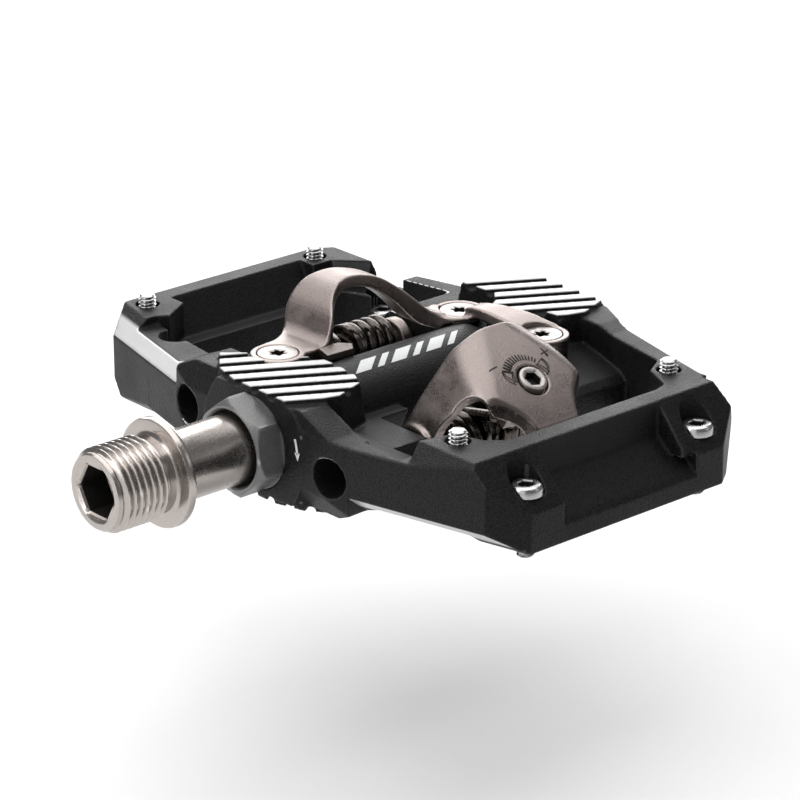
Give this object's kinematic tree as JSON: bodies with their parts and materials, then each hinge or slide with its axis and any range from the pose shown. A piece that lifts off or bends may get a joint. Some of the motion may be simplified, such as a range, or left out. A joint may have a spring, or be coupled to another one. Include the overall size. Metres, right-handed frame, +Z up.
{
  "type": "clipless bicycle pedal",
  "caption": "Two-sided clipless trail pedal with a spring-loaded cleat binding, a front claw and traction pins, on a threaded spindle.",
  "frame": {"origin": "on the spindle axis, at the flange face that seats on the crank arm", "axes": "+X along the spindle away from the crank, +Y towards the toe of the shoe, +Z up"},
  "size_m": [0.1061, 0.1036, 0.0356],
  "materials": {
    "spindle_steel": "satin",
    "bearing_steel": "polished",
    "body": "matte black anodised, machined bare ridges",
    "lock_bolt": "grey anodised",
    "sleeve": "satin",
    "seal": "matt",
    "jaw_steel": "satin brown-grey",
    "screws": "satin nickel",
    "spring_shoe": "satin",
    "springs": "dark satin",
    "pins": "bright plated"
  },
  "bodies": {
    "spindle_unit": {"spindle": "spindle_steel", "outer_cone": "bearing_steel", "cone_washer": "bearing_steel", "cone_lock_nut": "bearing_steel"},
    "pedal_unit": {"pedal_body": "body", "lock_bolt": "lock_bolt", "axle_seal": "seal", "inner_bearing_cup": "bearing_steel", "inner_ball_set": "bearing_steel", "axle_sleeve": "sleeve", "outer_bearing_cup": "bearing_steel", "outer_ball_set": "bearing_steel", "top_claw": "jaw_steel", "top_claw_screws": "screws", "top_spring_shoe": "spring_shoe", "top_binding_pin": "screws", "bottom_claw": "jaw_steel", "bottom_claw_screws": "screws", "bottom_spring_shoe": "spring_shoe", "bottom_binding_pin": "screws", "rear_top_pins": "pins", "rear_bottom_pins": "pins", "front_bottom_pins": "pins", "front_top_pins": "pins"},
    "top_jaw": {"top_binding": "jaw_steel", "top_spring_inboard": "springs", "top_spring_outboard": "springs"},
    "top_adjuster": {"top_tension_screw": "screws"},
    "top_spring_plate": {"top_tension_nut": "spring_shoe"},
    "bottom_jaw": {"bottom_binding": "jaw_steel", "bottom_spring_inboard": "springs", "bottom_spring_outboard": "springs"},
    "bottom_adjuster": {"bottom_tension_screw": "screws"},
    "bottom_spring_plate": {"bottom_tension_nut": "spring_shoe"}
  },
  "joints": [
    {"name": "pedal_spin", "type": "hinge", "parent": "spindle_unit", "child": "pedal_unit", "pos_m": [0, 0, 0], "axis": [1, 0, 0], "continuous": true},
    {"name": "top_binding_open", "type": "hinge", "parent": "pedal_unit", "child": "top_jaw", "pos_m": [0.054, -0.0182, -0.001], "axis": [1, 0, 0], "range_deg": [0, 10], "stiffness_Nm_per_rad": 2, "springref_deg": -17.19},
    {"name": "top_tension_turn", "type": "hinge", "parent": "top_jaw", "child": "top_adjuster", "pos_m": [0.054, -0.031, 0.0116], "axis": [0, 0.5299, -0.848], "range_deg": [0, 1080]},
    {"name": "top_tension_travel", "type": "slide", "parent": "top_jaw", "child": "top_spring_plate", "axis": [0, -0.5299, 0.848], "range_m": [0, 0.0015]},
    {"name": "bottom_binding_open", "type": "hinge", "parent": "pedal_unit", "child": "bottom_jaw", "pos_m": [0.054, 0.0182, 0.001], "axis": [1, 0, 0], "range_deg": [0, 10], "stiffness_Nm_per_rad": 2, "springref_deg": -17.19},
    {"name": "bottom_tension_turn", "type": "hinge", "parent": "bottom_jaw", "child": "bottom_adjuster", "pos_m": [0.054, 0.031, -0.0116], "axis": [0, -0.5299, 0.848], "range_deg": [0, 1080]},
    {"name": "bottom_tension_travel", "type": "slide", "parent": "bottom_jaw", "child": "bottom_spring_plate", "axis": [0, 0.5299, -0.848], "range_m": [0, 0.0015]}
  ],
  "couplings": [
    {"joint": "top_tension_turn", "follows": "top_tension_travel", "rad_per_m": 12566},
    {"joint": "bottom_tension_turn", "follows": "bottom_tension_travel", "rad_per_m": 12566}
  ]
}
